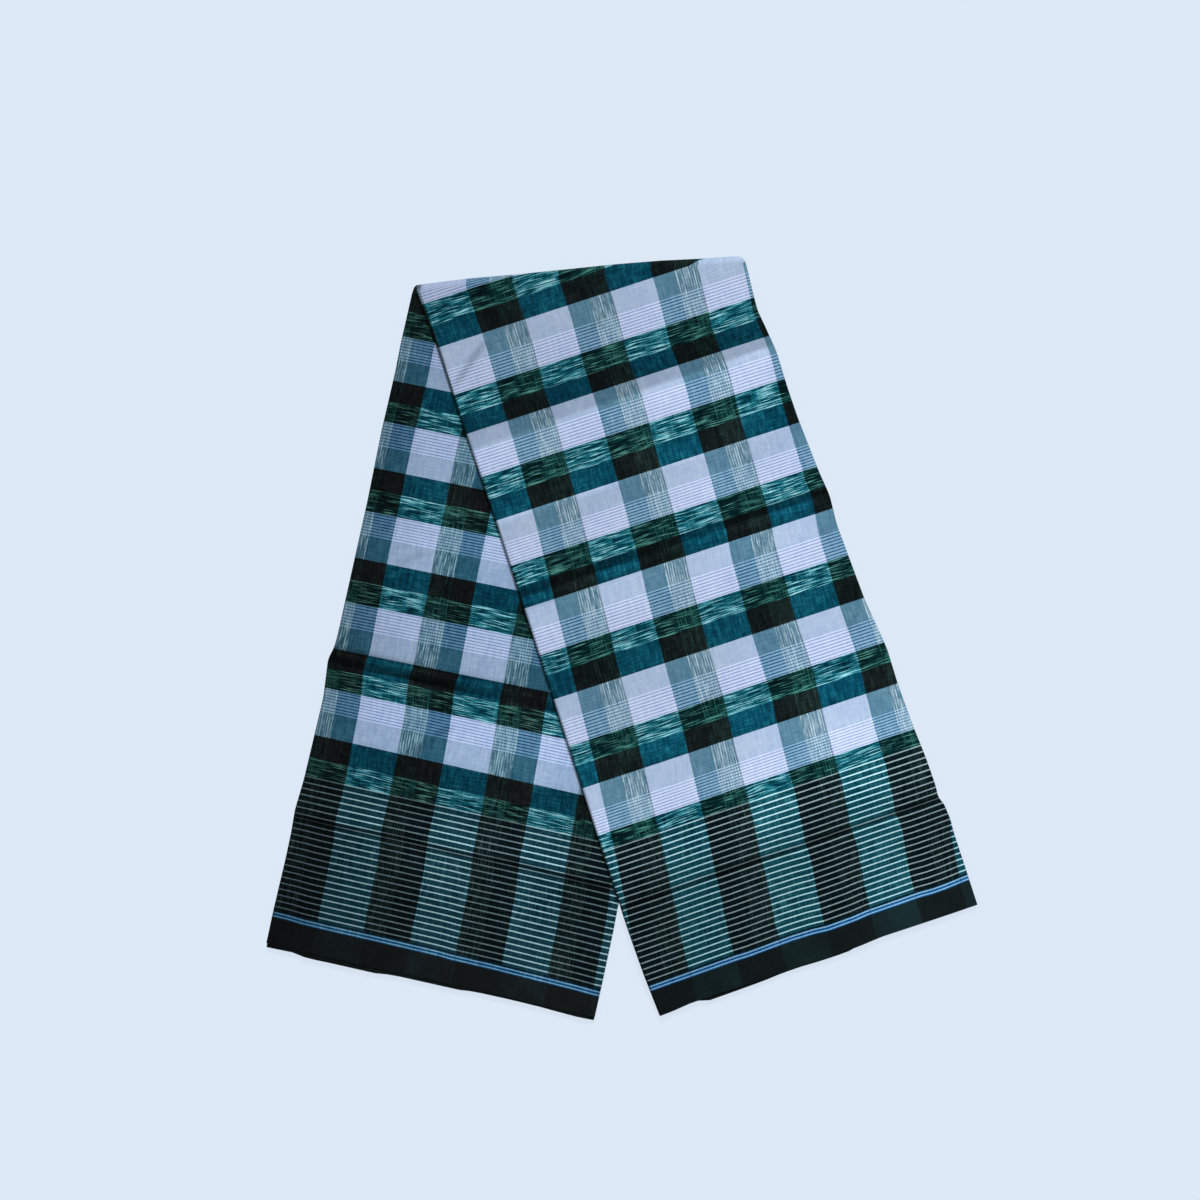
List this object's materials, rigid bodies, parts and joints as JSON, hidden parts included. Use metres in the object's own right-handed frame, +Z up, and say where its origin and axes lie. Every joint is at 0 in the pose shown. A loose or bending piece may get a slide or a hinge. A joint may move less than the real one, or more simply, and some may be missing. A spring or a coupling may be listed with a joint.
{
  "type": "longyi sarong, folded flat",
  "caption": "Checked cotton longyi tube skirt, folded into a long strip and turned over once, lying flat in an open V with near-black blue-lined selvedges.",
  "frame": {"origin": "centre of the folded cloth's footprint, on the surface it rests on", "axes": "+Z up from the surface, +Y towards the turned-over top edge, +X towards the over leg's hem, as seen from above"},
  "size_m": [0.585, 0.6292, 0.0131],
  "materials": {
    "over_cloth": "plain-weave cotton, matt with a faint sheen",
    "under_cloth": "plain-weave cotton, matt with a faint sheen",
    "hidden_layers": "plain-weave cotton, matt"
  },
  "bodies": {
    "root": {"under_leg_base_cloth": "under_cloth", "under_leg_layers": "hidden_layers", "under_leg_cloth": "under_cloth", "over_leg_layers": "hidden_layers", "over_leg_cloth": "over_cloth"}
  },
  "joints": []
}
